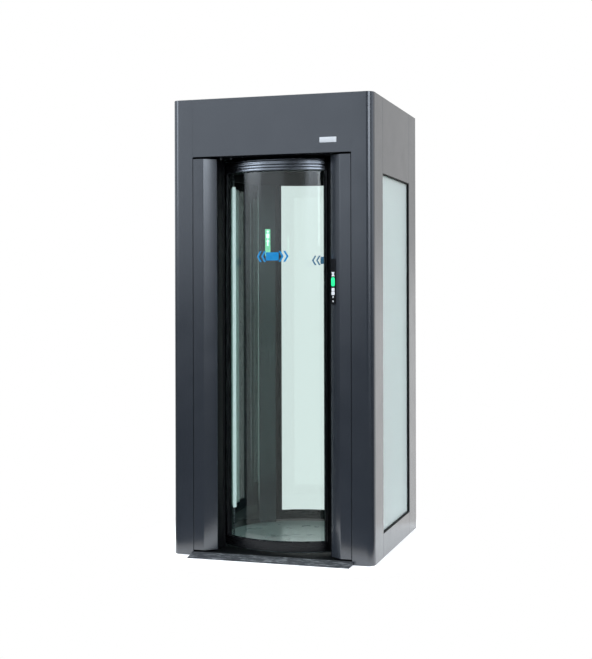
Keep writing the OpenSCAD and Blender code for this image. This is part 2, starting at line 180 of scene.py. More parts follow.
class PortalStudio(bpy.types.PropertyGroup):
    """Camera and light"""

    lens: FloatProperty(
        name="Lens", description="Focal length of the camera", default=66.97, min=10, unit="CAMERA"
    )
    camera_at: FloatVectorProperty(
        name="Camera",
        description="Place of the camera",
        default=(2.011, -6.617, 1.409),
        size=3,
        subtype="XYZ",
        unit="LENGTH",
    )
    turn: angle("Turn", "Turn of the camera", 17.146)
    roll: angle("Roll", "Roll of the camera", -0.144)
    shift: FloatProperty(
        name="Shift", description="Upright shift of the lens", default=-0.0604, min=-0.2, max=0.2
    )
    softbox: brightness("Softbox", "Brightness of the two mirrored softboxes", 2.8)
    room: brightness("Room", "Brightness of the room before the portal", 0.9)
    room_floor: brightness("Room floor", "Brightness of that room below eye level", 0.04)
    ceiling: brightness("Ceiling", "Brightness of the room overhead", 0.8)
    lamps: brightness("Lamps", "Brightness of the soft lamps", 3.4)
    floor_lift: brightness("Floor lift", "Glow that keeps the floor pale", 0.35)


# ---- shaders ---------------------------------------------------------------------------


def add(tree, kind, sockets=None, **settings):
    """Adds a node with its settings. Sockets, by name or number, get a value or another node's output."""
    made = tree.nodes.new(kind)
    for key, value in settings.items():
        setattr(made, key, value)
    for key, value in (sockets or {}).items():
        if isinstance(key, int):
            socket = made.inputs[key]
        else:
            socket = next(s for s in made.inputs if s.enabled and s.name == key)
        if isinstance(value, bpy.types.Node):
            value = next(s for s in value.outputs if s.enabled)
        if isinstance(value, bpy.types.NodeSocket):
            tree.links.new(value, socket)
        else:
            socket.default_value = value
    return made


def new_material(name):
    """An empty material, its tree and the object coordinates that its patterns follow."""
    material = bpy.data.materials.new(name)
    material.use_nodes = True
    tree = material.node_tree
    tree.nodes.clear()
    return material, tree, add(tree, "ShaderNodeTexCoord").outputs["Object"]


def blended(tree, noise, dark, light, spread=NOISE_RANGE):
    """A colour that follows noise from a dark one to a light one, over the given part of its range."""
    factor = add(tree, "ShaderNodeMapRange", {"Value": noise, **spread})
    return add(tree, "ShaderNodeMix", {"Factor": factor, "A": dark, "B": light}, data_type="RGBA")


def surfaced(material, sockets):
    """Gives a material its one shader."""
    tree = material.node_tree
    add(tree, "ShaderNodeOutputMaterial", {"Surface": add(tree, "ShaderNodeBsdfPrincipled", sockets)})
    return material


def shade(colour, factor):
    """A colour made lighter or darker."""
    return (*(min(1.0, c * factor) for c in colour[:3]), 1.0)


def finishes():
    """The colour settings."""
    return bpy.context.scene.portal_finishes


def details():
    """The size settings."""
    return bpy.context.scene.portal_details


def powder_coat(name, colour, roughness, ior, specular, lacquer):
    """Powder coat with a fine metallic pigment, sprayed and baked: satin, and brighter seen at a slant."""
    material, tree, place = new_material(name)
    # Orange peel is 1 to 2 mm from crest to crest, too fine to show, so it is drawn 5 mm wide.
    peel = add(tree, "ShaderNodeTexNoise", {"Vector": place, "Scale": 1 / (5 * MM), "Detail": 2})
    # Handling leaves patches of slightly different gloss about a hand wide.
    patches = add(tree, "ShaderNodeTexNoise", {"Vector": place, "Scale": 1 / (140 * MM), "Detail": 3})
    # Pigment flakes are 0.05 mm; they are drawn 3 mm wide and faint.
    flakes = add(tree, "ShaderNodeTexNoise", {"Vector": place, "Scale": 1 / (3 * MM), "Detail": 1})
    sparkle = {"From Min": 0.4, "From Max": 0.75}
    gloss = {"Value": patches, **NOISE_RANGE, "To Min": roughness - 0.03, "To Max": roughness + 0.04}
    sockets = {
        "Base Color": blended(tree, flakes, shade(colour, 0.95), shade(colour, 1.1), sparkle),
        "Roughness": add(tree, "ShaderNodeMapRange", gloss),
        "IOR": ior,
        "Specular IOR Level": specular,
        "Coat Weight": lacquer,
        "Coat Roughness": 0.12,
        "Normal": add(tree, "ShaderNodeBump", {"Height": peel, "Distance": 0.05 * MM, "Strength": 0.3}),
    }
    return surfaced(material, sockets)


def anodised(name, colour, metallic, along):
    """Drawn aluminium, anodised dark: fine die lines under a thin dyed skin, with a silky gloss."""
    material, tree, place = new_material(name)
    # Die lines are under 0.1 mm apart; they are drawn 2 mm wide so that they show as soft streaks.
    along = add(tree, "ShaderNodeMapping", {"Vector": place, "Scale": along})
    lines = add(tree, "ShaderNodeTexNoise", {"Vector": along, "Scale": 1 / (2 * MM), "Detail": 1})
    silky = {"Value": lines, **NOISE_RANGE, "To Min": 0.24, "To Max": 0.31}
    sockets = {
        "Base Color": blended(tree, lines, shade(colour, 0.88), shade(colour, 1.14)),
        "Metallic": metallic,
        "Roughness": add(tree, "ShaderNodeMapRange", silky),
        "Normal": add(tree, "ShaderNodeBump", {"Height": lines, "Distance": 0.02 * MM, "Strength": 0.3}),
    }
    return surfaced(material, sockets)


def threshold_coat():
    """Textured slip-resistant coat: a matt, sandy grain, swept grey and scuffed paler all along by shoes."""
    material, tree, place = new_material("Textured threshold coat")
    colour, worn = finishes().threshold, finishes().threshold_worn
    # The sand grain is about 0.8 mm; it is drawn 6 mm wide, because finer would not show.
    grain = {"Vector": place, "Scale": 1 / (6 * MM), "Detail": 4, "Roughness": 0.7}
    grain = add(tree, "ShaderNodeTexNoise", grain)
    # The swept streaks and the scuffs are drawn longer along the ramp than across it.
    along = add(tree, "ShaderNodeMapping", {"Vector": place, "Scale": (0.3, 1, 1)})
    streaks = add(tree, "ShaderNodeTexNoise", {"Vector": along, "Scale": 1 / (16 * MM), "Detail": 3})
    treads = {"Vector": along, "Scale": 1 / (15 * MM), "Detail": 4, "Roughness": 0.75}
    treads = add(tree, "ShaderNodeTexNoise", treads)
    sandy = blended(tree, grain, shade(colour, 0.4), shade(colour, 1.9))
    wide = {"From Min": 0.35, "From Max": 0.7, "To Max": 0.5}
    swept = blended(tree, streaks, sandy, shade(colour, 1.6), wide)
    narrow = {"From Min": 0.5, "From Max": 0.64, "To Max": 0.75}
    matt = {"Value": grain, **NOISE_RANGE, "To Min": 0.5, "To Max": 0.72}
    sockets = {
        "Base Color": blended(tree, treads, swept, full(worn), narrow),
        "Roughness": add(tree, "ShaderNodeMapRange", matt),
        "Normal": add(tree, "ShaderNodeBump", {"Height": grain, "Distance": 0.4 * MM, "Strength": 0.6}),
    }
    return surfaced(material, sockets)


def sheet_floor():
    """Vinyl sheet, calendered smooth: an even grey-green with fine chips and a soft satin gloss."""
    material, tree, place = new_material("Vinyl sheet floor")
    colour = finishes().floor
    # Colour chips are 1 mm; they are drawn 4 mm wide.
    chips = add(tree, "ShaderNodeTexNoise", {"Vector": place, "Scale": 1 / (4 * MM), "Detail": 1})
    wear = add(tree, "ShaderNodeTexNoise", {"Vector": place, "Scale": 1 / (120 * MM), "Detail": 3})
    gloss = {"Value": wear, **NOISE_RANGE, "To Min": 0.26, "To Max": 0.32}
    sockets = {
        "Base Color": blended(tree, chips, shade(colour, 0.92), shade(colour, 1.08)),
        "Roughness": add(tree, "ShaderNodeMapRange", gloss),
        "Normal": add(tree, "ShaderNodeBump", {"Height": chips, "Distance": 0.02 * MM, "Strength": 0.1}),
    }
    return surfaced(material, sockets)


def brushed_steel():
    """Stainless steel, belt-ground: long bright hairlines."""
    material, tree, place = new_material("Brushed stainless steel")
    # Hairlines are 0.1 mm apart; they are drawn 1.5 mm wide.
    along = add(tree, "ShaderNodeMapping", {"Vector": place, "Scale": (1, 1, 12)})
    lines = add(tree, "ShaderNodeTexNoise", {"Vector": along, "Scale": 1 / (1.5 * MM), "Detail": 2})
    ground = {"Value": lines, **NOISE_RANGE, "To Min": 0.28, "To Max": 0.42}
    sockets = {
        "Base Color": blended(tree, lines, linear("8C8F92"), linear("C9CBCD")),
        "Metallic": 1.0,
        "Roughness": add(tree, "ShaderNodeMapRange", ground),
        "Normal": add(tree, "ShaderNodeBump", {"Height": lines, "Distance": 0.02 * MM, "Strength": 0.4}),
    }
    return surfaced(material, sockets)


def rubber():
    """Extruded EPDM rubber: matt black with a faint grey bloom in patches."""
    material, tree, place = new_material("EPDM rubber")
    bloom = add(tree, "ShaderNodeTexNoise", {"Vector": place, "Scale": 1 / (25 * MM), "Detail": 4})
    # The skin's grain is 0.3 mm; it is drawn 2.5 mm wide.
    grain = add(tree, "ShaderNodeTexNoise", {"Vector": place, "Scale": 1 / (2.5 * MM), "Detail": 2})
    matt = {"Value": grain, **NOISE_RANGE, "To Min": 0.6, "To Max": 0.8}
    sockets = {
        "Base Color": blended(tree, bloom, linear("08090A"), linear("111314")),
        "Roughness": add(tree, "ShaderNodeMapRange", matt),
        "Specular IOR Level": 0.2,
        "Normal": add(tree, "ShaderNodeBump", {"Height": grain, "Distance": 0.05 * MM, "Strength": 0.3}),
    }
    return surfaced(material, sockets)


def finish_glass(tree, glass, passing):
    """Lets lamps shine through a pane: only rays that test for shadow meet a tinted open surface."""
    open_pane = add(tree, "ShaderNodeBsdfTransparent", {"Color": passing})
    shadow_ray = add(tree, "ShaderNodeLightPath").outputs["Is Shadow Ray"]
    mixed = add(tree, "ShaderNodeMixShader", {0: shadow_ray, 1: glass, 2: open_pane})
    add(tree, "ShaderNodeOutputMaterial", {"Surface": mixed})


def clear_glass():
    """Clear laminated float glass: polished, with the faint green of iron in its body."""
    material, tree, place = new_material("Clear laminated glass")
    tint = full(finishes().clear)
    # Float glass waves by hundredths of a millimetre over 26 cm, which bends reflections slightly.
    along = add(tree, "ShaderNodeMapping", {"Vector": place, "Scale": (1, 1, 0.5)})
    waves = add(tree, "ShaderNodeTexNoise", {"Vector": along, "Scale": 1 / (260 * MM), "Detail": 1})
    sockets = {
        "Base Color": tint,
        "Roughness": 0.0,
        "IOR": 1.5,
        "Specular IOR Level": 0.13,
        "Transmission Weight": 1.0,
        "Normal": add(tree, "ShaderNodeBump", {"Height": waves, "Distance": 0.05 * MM, "Strength": 0.4}),
    }
    finish_glass(tree, add(tree, "ShaderNodeBsdfPrincipled", sockets), tint)
    return material


def frosted_glass():
    """Glass laminated with a frosted film: milky, so that it scatters light and shows no shapes behind it."""
    material, tree, place = new_material("Frosted laminated glass")
    tint = finishes().frosted
    # The film's mottle is under 1 mm; it is drawn 8 mm wide and very faint.
    mottle = add(tree, "ShaderNodeTexNoise", {"Vector": place, "Scale": 1 / (8 * MM), "Detail": 3})
    sockets = {
        "Base Color": blended(tree, mottle, shade(tint, 0.97), shade(tint, 1.02)),
        "Roughness": 0.45,
        "IOR": 1.3,
        "Specular IOR Level": 0.1,
        "Transmission Weight": 0.35,
        "Subsurface Weight": 1.0,
        "Subsurface Radius": (1.0, 1.0, 1.0),
        "Subsurface Scale": 30 * MM,
        "Coat Weight": 0.05,
        "Coat Roughness": 0.12,
    }
    finish_glass(tree, add(tree, "ShaderNodeBsdfPrincipled", sockets), shade(tint, 0.7))
    return material


def gloss_cover():
    """Black acrylic cover, cast and polished: a deep black with a sharp highlight and fine wiping marks."""
    material, tree, place = new_material("Gloss black acrylic")
    along = add(tree, "ShaderNodeMapping", {"Vector": place, "Scale": (1, 1, 0.3)})
    wiping = add(tree, "ShaderNodeTexNoise", {"Vector": along, "Scale": 1 / (30 * MM), "Detail": 4})
    polish = {"Value": wiping, **NOISE_RANGE, "To Min": 0.08, "To Max": 0.18}
    sockets = {
        "Base Color": blended(tree, wiping, linear("0C0D0F"), linear("141518")),
        "Roughness": add(tree, "ShaderNodeMapRange", polish),
    }
    return surfaced(material, sockets)


def lit(name, colour, strength, roughness):
    """Moulded polycarbonate lit from behind: a glow that is slightly uneven over its mould grain."""
    material, tree, place = new_material(name)
    grain = add(tree, "ShaderNodeTexNoise", {"Vector": place, "Scale": 1 / (6 * MM), "Detail": 2})
    glow = blended(tree, grain, shade(colour, 0.85), shade(colour, 1.1))
    sockets = {
        "Base Color": glow,
        "Roughness": roughness,
        "Emission Color": glow,
        "Emission Strength": strength,
    }
    return surfaced(material, sockets)


def film(name, colour, roughness, passing=0.0, glow=0.0):
    """Cast vinyl film, stuck down: an even colour with slight ripples. Thin film lets light through. A glow given
    to it is painted light, because the film is no lamp.
    """
    material, tree, place = new_material(name)
    ripples = add(tree, "ShaderNodeTexNoise", {"Vector": place, "Scale": 1 / (6 * MM), "Detail": 2})
    gloss = {"Value": ripples, **NOISE_RANGE, "To Min": roughness - 0.05, "To Max": roughness + 0.08}
    sockets = {
        "Base Color": blended(tree, ripples, shade(colour, 0.95), shade(colour, 1.05)),
        "Roughness": add(tree, "ShaderNodeMapRange", gloss),
        "Normal": add(tree, "ShaderNodeBump", {"Height": ripples, "Distance": 0.03 * MM, "Strength": 0.2}),
        "Transmission Weight": passing,
        # A glow here is painted light: the emission stands in for light that falls on the film and through it.
        "Emission Color": full(colour),
        "Emission Strength": glow,
    }
    return surfaced(material, sockets)


# How each finish is made: powder coats are given roughness, IOR, specular level and lacquer, aluminium its
# metallic share and the stretch of its die lines, lit pieces strength and roughness, and films roughness, and
# where they need it what they let through and their painted glow.
MAKERS = {
    "casing": lambda: powder_coat(
        "Anthracite metallic powder coat", finishes().casing, 0.2, 1.8, 0.58, 0.25
    ),
    "head": lambda: powder_coat("Satin black powder coat", finishes().head, 0.5, 1.5, 0.5, 0.0),
    "black": lambda: powder_coat("Black powder coat", finishes().black, 0.5, 1.5, 0.15, 0.0),
    "rail": lambda: anodised("Dark anodised aluminium", finishes().rail, 1.0, (0.03, 0.03, 1)),
    "stile": lambda: anodised("Black anodised aluminium", finishes().stile, 0.3, (1, 1, 0.02)),
    "low_rail": lambda: anodised(
        "Black anodised aluminium of low rails", finishes().stile, 0.3, (0.03, 0.03, 1)
    ),
    "threshold": threshold_coat,
    "floor": sheet_floor,
    "steel": brushed_steel,
    "rubber": rubber,
    "clear": clear_glass,
    "frosted": frosted_glass,
    "cover": gloss_cover,
    "lamp": lambda: lit("Green lamp lens", finishes().lamp, 0.8, 0.25),
    "light_bar": lambda: lit("Lit edge bar", finishes().light_bar, 0.6, 0.3),
    "screen": lambda: lit("Lit screen", finishes().screen, 1.15, 0.2),
    "screen_mark": lambda: lit("Lit screen mark", finishes().screen_mark, 1.7, 0.2),
    "symbols": lambda: film("White screen print", finishes().symbols, 0.35),
    # The blue film's small glow is painted light, which keeps the markings bright where they are in shade.
    "marking": lambda: film("Blue cast film with painted glow", finishes().marking, 0.3, 0.2, 0.2),
    "label": lambda: film("White label film", finishes().label, 0.4),
}
made_materials = {}


def material_of(finish):
    """The material of a finish, made the first time that it is asked for."""
    if finish not in made_materials:
        made_materials[finish] = MAKERS[finish]()
    return made_materials[finish]


# ---- pieces ----------------------------------------------------------------------------


def piece_from(name, bm, finish, body="cabinet"):
    """Turns a bmesh into a piece with a finish, riding on a body."""
    bmesh.ops.recalc_face_normals(bm, faces=bm.faces)
    mesh = bpy.data.meshes.new(name)
    bm.to_mesh(mesh)
    bm.free()
    mesh.materials.append(material_of(finish))
    mesh.shade_smooth()
    mesh.set_sharp_from_angle(angle=SHARP)
    piece = bpy.data.objects.new(name, mesh)
    bpy.context.scene.collection.objects.link(piece)
    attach(piece, body)
    return piece


def coat(node, finish):
    """Gives a CAD node that keeps its shape its real finish."""
    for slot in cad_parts[node].material_slots:
        slot.link = "OBJECT"
        slot.material = material_of(finish)


def soften(piece, width):
    """Eases the sharp edges of a piece."""
    bevels = piece.modifiers.new("Eased edges", "BEVEL")
    bevels.width = width
    bevels.segments = 2
    bevels.limit_method = "ANGLE"
    bevels.angle_limit = SHARP
    bevels.harden_normals = True
    bevels.loop_slide = False
    return piece


def eased(node, finish, width, body="cabinet", matrix=None):
    """A copy of a CAD node whose sharp edges are softened, which stands for that node."""
    bm = bmesh.new()
    bm.from_mesh(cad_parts[node].data)
    bmesh.ops.remove_doubles(bm, verts=bm.verts, dist=WELD)
    bmesh.ops.dissolve_limit(
        bm, angle_limit=math.radians(0.05), use_dissolve_boundaries=False, verts=bm.verts, edges=bm.edges
    )
    if matrix:
        move(bm, matrix)
    piece = piece_from(f"{node}_eased", bm, finish, body)
    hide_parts(node)
    return soften(piece, width)


def block(size, radius=0.0, rim=0.0, corner_steps=5):
    """A plate of size x, y, z about the origin, with round corners seen along y and an eased front rim."""
    bm = bmesh.new()
    bmesh.ops.create_cube(bm, size=1, matrix=Matrix.Diagonal((*size, 1)))
    if radius:
        across = [e for e in bm.edges if abs(e.verts[0].co.y - e.verts[1].co.y) > size[1] / 2]
        bevel(bm, across, radius, corner_steps)
    if rim:
        front = [e for e in bm.edges if all(v.co.y < -size[1] / 2 + TOUCHING for v in e.verts)]
        bevel(bm, front, rim, 2)
    return bm


def bevel(bm, edges, offset, segments):
    """Rounds edges."""
    bmesh.ops.bevel(
        bm, geom=edges, offset=offset, segments=segments, profile=0.5, affect="EDGES", material=-1
    )


def revolved(outline, steps):
    """Turns an outline of (distance, height) points, in millimetres, about the upright axis."""
    bm = bmesh.new()
    points = [bm.verts.new((r * MM, 0, z * MM)) for r, z in outline]
    for first, second in zip(points, points[1:]):
        bm.edges.new((first, second))
    geom = bm.verts[:] + bm.edges[:]
    bmesh.ops.spin(bm, geom=geom, axis=(0, 0, 1), angle=math.tau, steps=steps, use_merge=True)
    bmesh.ops.remove_doubles(bm, verts=bm.verts, dist=0.001 * MM)
    return bm


def move(bm, matrix):
    """Moves and turns a shape."""
    bmesh.ops.transform(bm, matrix=matrix, verts=bm.verts)
    return bm


def shift(bm, x=0.0, y=0.0, z=0.0):
    """Moves a shape without turning it."""
    return move(bm, Matrix.Translation((x, y, z)))


def gather(target, source):
    """Adds a shape to the target."""
    scratch = bpy.data.meshes.new("scratch")
    source.to_mesh(scratch)
    source.free()
    target.from_mesh(scratch)
    bpy.data.meshes.remove(scratch)
    return target


def polar_span(node):
    """Smallest and largest angle of a node's points about the doors' axis, from -Y towards +X."""
    angles = [math.atan2(v.co.x, -v.co.y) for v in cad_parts[node].data.vertices]
    return min(angles), max(angles)


def reach(node):
    """Smallest and largest distance of a node's points from the doors' axis."""
    distances = [math.hypot(v.co.x, v.co.y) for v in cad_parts[node].data.vertices]
    return min(distances), max(distances)


def bend(bm, radius, middle=0.0):
    """Wraps a flat shape about the doors' axis: x becomes an angle, -y the distance beyond the radius."""
    for v in bm.verts:
        angle = middle + v.co.x / radius
        r = radius - v.co.y
        v.co.x, v.co.y = r * math.sin(angle), -r * math.cos(angle)
    return bm


def wing_fold():
    """Where the front right wing is folded and where its slanted face ends, seen from above."""
    sizes = details()
    fold = Vector((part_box("wing_front_right")[1].x - sizes.wing_flat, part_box("corner_post_front_right")[0].y))
    return fold, fold + Vector((-sizes.wing_slant_x, sizes.wing_slant_y))


def cut_across(bm, step):
    """Cuts a flat shape every step along x, so that it can be bent."""
    low = min(v.co.x for v in bm.verts)
    high = max(v.co.x for v in bm.verts)
    for i in range(1, math.ceil((high - low) / step)):
        geom = bm.verts[:] + bm.edges[:] + bm.faces[:]
        bmesh.ops.bisect_plane(bm, geom=geom, plane_co=(low + i * step, 0, 0), plane_no=(1, 0, 0))
    return bm


class PORTAL_OT_casing(bpy.types.Operator):
    """Coats and eases the posts, side walls, fascias and roof"""

    bl_idname = "portal.casing"
    bl_label = "Casing"

    def execute(self, context):
        width = details().ease
        for corner in CORNERS:
            eased(f"corner_post_{corner}", "casing", width)
        for hand in HANDS:
            eased(f"side_wall_{hand}", "casing", details().ease_small)
        for side in SIDES:
            eased(f"fascia_{side}", "casing", width)
        eased("roof_panel", "casing", width)
        return {"FINISHED"}


class PORTAL_OT_side_windows(bpy.types.Operator):
    """Finishes the frosted side glazing and its gaskets"""

    bl_idname = "portal.side_windows"
    bl_label = "Side Windows"

    def execute(self, context):
        for hand in HANDS:
            coat(f"side_glazing_{hand}", "frosted")
            eased(f"window_gasket_{hand}", "rubber", details().ease_small)
        return {"FINISHED"}


class PORTAL_OT_doorways(bpy.types.Operator):
    """Folds the wings with their seals and returns, and finishes the posts beside the leaves"""

    bl_idname = "portal.doorways"
    bl_label = "Doorways"

    def execute(self, context):
        for corner in CORNERS:
            side, hand = corner.split("_")
            wing = move(self.wing(), TURNS[side])
            if (side == "front") == (hand == "left"):
                move(wing, Matrix.Scale(-1, 4, (1, 0, 0)))
            piece = piece_from(f"wing_{corner}_folded", wing, "casing")
            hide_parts(f"wing_{corner}")
            soften(piece, details().ease_small)
        self.seals()
        self.returns()
        for side in SIDES:
            eased(f"closing_post_{side}", "casing", details().ease_small)
            eased(f"guide_post_{side}", "black", details().ease_small)
        return {"FINISHED"}

    def wing(self):
        """The front right wing, folded from sheet: a flat flush with the post, a slanted face and a lip."""
        sizes = details()
        low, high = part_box("wing_front_right")
        t = sizes.wing_sheet
        fold_radius, lip_depth = 2 * MM, 14 * MM
        outer = high.x - sizes.seal_w
        fold, edge = wing_fold()
        slant = (edge - fold).normalized()
        back = Vector((-slant.y, slant.x)) * -t
        lip_y = edge.y + lip_depth
        front = [Vector((outer, fold.y)), fold, edge, Vector((edge.x, lip_y))]
        inside = [
            Vector((edge.x + t, lip_y)),
            Vector((edge.x + t, edge.y + t * 0.7)),
            fold + back,
            Vector((outer, fold.y + t)),
        ]
        bm = bmesh.new()
        section = bm.faces.new([bm.verts.new((x, y, low.z)) for x, y in front + inside])
        raised = bmesh.ops.extrude_face_region(bm, geom=[section])["geom"]
        raised = [v for v in raised if isinstance(v, bmesh.types.BMVert)]
        bmesh.ops.translate(bm, verts=raised, vec=(0, 0, high.z - low.z))
        upright = [e for e in bm.edges if e.calc_length() > (high.z - low.z) / 2]
        folds = [e for e in upright if any((e.verts[0].co.xy - c).length < TOUCHING for c in (fold, edge))]
        bevel(bm, folds, fold_radius, 3)
        return bm

    def returns(self):
        """Sheets that close the doorways' sides, from the wings' lips to the posts behind them. Their black coat
        is painted shade for these recesses.
        """
        low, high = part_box("wing_front_right")
        edge = wing_fold()[1]
        # A sheet starts beside the wing's lip, a hair's breadth off its face, and ends short of the post.
        start, end = edge.y + 3 * MM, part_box("closing_post_front")[0].y - 2 * MM
        returns = bmesh.new()
        for turn in TURNS.values():
            for hand in (-1, 1):
                sheet = block((1.5 * MM, end - start, high.z - low.z - 1 * MM), rim=0.4 * MM)
                at = Vector((hand * (edge.x - 0.8 * MM), (start + end) / 2, (low.z + high.z) / 2))
                gather(returns, move(sheet, turn @ Matrix.Translation(at)))
        # The black coat here is painted shade: it keeps these recesses dark.
        piece_from("doorway_returns", returns, "black")

    def seals(self):
        """Rubber beads that close the joints between the corner posts and the wings; their black also paints the
        shade of the joint.
        """
        sizes = details()
        low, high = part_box("wing_front_right")
        post_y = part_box("corner_post_front_right")[0].y
        at = (high.x - sizes.seal_w / 2, post_y + 2 * MM, (low.z + high.z) / 2)
        seals = bmesh.new()
        for turn in TURNS.values():
            for hand in (-1, 1):
                bead = block((sizes.seal_w, 2 * MM, high.z - low.z), rim=0.6 * MM)
                move(bead, turn @ Matrix.Translation((hand * at[0], at[1], at[2])))
                gather(seals, bead)
        # The beads are seals, and their black is also painted shade: it draws the dark line of the joint's shade.
        piece_from("wing_seals", seals, "rubber")


class PORTAL_OT_head(bpy.types.Operator):
    """Finishes the soffit, ceiling, upper ring and track, and puts the screws in the soffit"""

    bl_idname = "portal.head"
    bl_label = "Head"

    def execute(self, context):
        for node in ("soffit", "ceiling_panel"):
            coat(node, "head")
        eased("upper_ring", "black", details().ease_small)
        coat("door_track", "steel")
        soffit_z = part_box("soffit")[0].z
        fascia_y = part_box("fascia_front")[1].y
        bolts = bmesh.new()
        # Distance from the middle of the doorway and from the fascia's back.
        for x, behind in ((-302 * MM, 37 * MM), (-251 * MM, 53 * MM)):
            at = Matrix.Translation((x, fascia_y + behind, soffit_z))
            for turn in TURNS.values():
                gather(bolts, move(self.bolt(), turn @ at))
        piece_from("soffit_bolts", bolts, "steel")
        return {"FINISHED"}

    def bolt(self):
        """A socket-head bolt on a washer, hanging from the soffit."""
        socket = ((0, -6), (2.6, -6), (2.6, -10))
        head = ((4.9, -10), (5.5, -9.3), (5.5, -1.5))
        washer = ((8, -1.5), (8, 0), (0, 0))
        return revolved(socket + head + washer, 24)


class PORTAL_OT_base(bpy.types.Operator):
    """Finishes the base plate, the chamber's floor and the threshold ramps"""

    bl_idname = "portal.base"
    bl_label = "Base and Thresholds"

    def execute(self, context):
        coat("base_plate", "black")
        coat("floor_plate", "floor")
        for side in SIDES:
            eased(f"threshold_{side}", "threshold", details().ease)
        return {"FINISHED"}


class PORTAL_OT_inner_walls(bpy.types.Operator):
    """Finishes the chamber's curved glass walls, trims their upright edges and adds two light bars"""

    bl_idname = "portal.inner_walls"
    bl_label = "Inner Walls"

    def execute(self, context):
        for hand in HANDS:
            coat(f"curved_wall_{hand}", "clear")
        self.edges()
        self.light_bars()
        return {"FINISHED"}

    def edges(self):
        """Slim strips that cap the upright edges of the curved walls, a hair's breadth off the glass."""
        inner, outer = reach("curved_wall_right")
        low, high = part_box("curved_wall_right")
        edges = bmesh.new()
        for end, outward in zip(polar_span("curved_wall_right"), (-1, 1)):
            for turn in TURNS.values():
                strip = block((1.6 * MM, outer - inner - 0.4 * MM, high.z - low.z - 1 * MM))
                shift(strip, x=outward * 0.85 * MM, z=(low.z + high.z) / 2)
                gather(edges, move(bend(strip, (inner + outer) / 2, end), turn))
        piece_from("wall_edges", edges, "rail")

    def light_bars(self):
        """A milky bar on one end of each curved wall, shorter than the side windows and set higher."""
        outer = reach("curved_wall_right")[1]
        low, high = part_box("side_glazing_right")
        shorter, higher, inset = 140 * MM, 24 * MM, 8 * MM
        bars = bmesh.new()
        for turn in TURNS.values():
            bar = block((1.2 * MM, 20 * MM, high.z - low.z - shorter), rim=0.4 * MM)
            shift(bar, x=2.3 * MM, z=(low.z + high.z) / 2 + higher)
            gather(bars, move(bend(bar, outer - inset, polar_span("curved_wall_right")[1]), turn))
        piece_from("wall_light_bars", bars, "light_bar")


class PORTAL_OT_leaves(bpy.types.Operator):
    """Finishes the sliding leaves and adds the rubber around their glass"""

    bl_idname = "portal.leaves"
    bl_label = "Sliding Leaves"

    def execute(self, context):
        for side in SIDES:
            leaf = f"{side}_leaf"
            eased(f"{leaf}_bottom_rail", "low_rail", details().ease_small, leaf)
            for stile in ("lead", "trail"):
                eased(f"{leaf}_{stile}_stile", "stile", details().ease_small, leaf)
            coat(f"{leaf}_glass", "clear")
            coat(f"{leaf}_carriages", "black")
            rail = piece_from(f"{leaf}_top_rail_drawn", move(self.top_rail(), TURNS[side]), "rail", leaf)
            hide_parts(f"{leaf}_top_rail")
            piece_from(f"{leaf}_gasket_drawn", move(self.gasket(), TURNS[side]), "rubber", leaf)
        return {"FINISHED"}

    def top_rail(self):
        """The front leaf's top rail: three shallow crowned lands, grooves, a neck and the hanging bar."""
        sizes = details()
        inner, outer = reach("front_leaf_top_rail")
        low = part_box("front_leaf_top_rail")[0].z
        land = sizes.rail_h / 3
        groove, groove_depth = 1.2 * MM, 3 * MM
        half_land = land / 2 - groove
        outline = [(inner, low)]
        for i in range(3):
            middle = low + (i + 0.5) * land
            outline.append((outer - groove_depth, middle - land / 2 + 0.3 * MM))
            for step in range(7):
                across = step / 3 - 1
                outline.append((outer - sizes.rail_crown * across**2, middle + half_land * across))
        neck_z = low + sizes.rail_h
        bar_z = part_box("front_leaf_top_rail")[1].z
        nose = (bar_z - neck_z - sizes.neck_h) / 2
        quarter = (outer - inner) / 4
        outline += [(outer - groove_depth, neck_z), (outer - quarter, neck_z)]
        outline.append((outer - quarter, neck_z + sizes.neck_h))
        for step in range(9):
            a = math.pi * (step / 8 - 0.5)
            outline.append((outer - 2 * MM - nose + nose * math.cos(a), bar_z - nose + nose * math.sin(a)))
        outline += [(inner + quarter, bar_z), (inner + quarter, neck_z), (inner, neck_z)]
        start, end = polar_span("front_leaf_top_rail")
        rail = bmesh.new()
        points = [rail.verts.new((r * math.sin(start), -r * math.cos(start), z)) for r, z in outline]
        section = rail.faces.new(points)
        cap = bmesh.ops.duplicate(rail, geom=[section])["geom"]
        bmesh.ops.spin(rail, geom=section.edges[:], axis=(0, 0, 1), angle=end - start, steps=56)
        cap_verts = [v for v in cap if isinstance(v, bmesh.types.BMVert)]
        bmesh.ops.rotate(rail, verts=cap_verts, cent=(0, 0, 0), matrix=Matrix.Rotation(end - start, 3, "Z"))
        bmesh.ops.remove_doubles(rail, verts=rail.verts, dist=0.002 * MM)
        return rail

    def gasket(self):
        """Rubber on both faces of the front leaf's glass, along the rails."""
        sizes = details()
        start = polar_span("front_leaf_trail_stile")[1]
        end = polar_span("front_leaf_lead_stile")[0]
        glass_in, glass_out = reach("front_leaf_glass")
        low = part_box("front_leaf_bottom_rail")[1].z
        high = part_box("front_leaf_top_rail")[0].z
        rim = bmesh.new()
        for radius, out in ((glass_out, 1), (glass_in, -1)):
            middle_r = radius + out * sizes.gasket_t / 2
            run = (end - start) * middle_r
            for z, up in ((low, 1), (high, -1)):
                strip = block((run, sizes.gasket_t, sizes.gasket_w))
                long_edges = [e for e in strip.edges if abs(e.verts[0].co.x - e.verts[1].co.x) > run / 2]
                bevel(strip, long_edges, 0.6 * MM, 2)
                cut_across(strip, 12 * MM)
                shift(strip, z=z + up * sizes.gasket_w / 2)
                gather(rim, bend(strip, middle_r, (start + end) / 2))
        return rim


